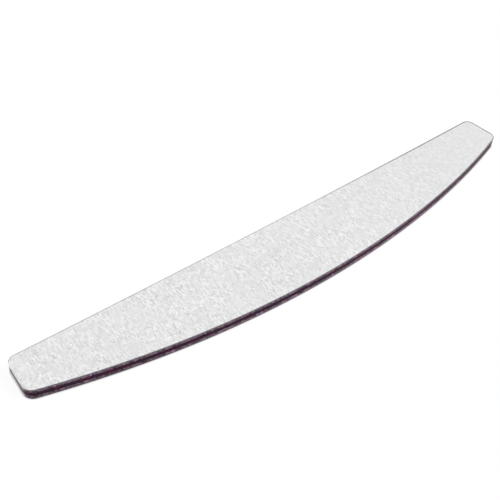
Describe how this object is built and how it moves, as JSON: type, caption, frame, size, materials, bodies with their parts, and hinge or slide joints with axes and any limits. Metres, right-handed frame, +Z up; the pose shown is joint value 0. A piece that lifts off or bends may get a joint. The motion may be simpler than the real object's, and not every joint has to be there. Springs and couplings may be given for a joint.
{
  "type": "emery board",
  "caption": "Half-moon emery board: a plastic core between foam cushions, with abrasive paper on both faces.",
  "frame": {"origin": "centre of the outline's box on the bottom abrasive face, which is the surface that the board lies on", "axes": "+X along the length, to the right in the picture; +Y across the width, from the curved front edge to the long back edge; +Z up, out of the top abrasive face"},
  "size_m": [0.1778, 0.0254, 0.0035],
  "materials": {
    "core_plastic": "matte",
    "adhesive_film": "satin",
    "foam": "matte",
    "backing_paper": "matte",
    "make_coat": "satin",
    "grit_coat": "matte"
  },
  "bodies": {
    "root": {"core_board": "core_plastic", "top_core_adhesive": "adhesive_film", "bottom_core_adhesive": "adhesive_film", "top_foam_sheet": "foam", "bottom_foam_sheet": "foam", "top_paper_adhesive": "adhesive_film", "bottom_paper_adhesive": "adhesive_film", "top_backing_paper": "backing_paper", "bottom_backing_paper": "backing_paper", "top_make_coat": "make_coat", "bottom_make_coat": "make_coat", "top_grit_coat": "grit_coat", "bottom_grit_coat": "grit_coat"}
  },
  "joints": []
}
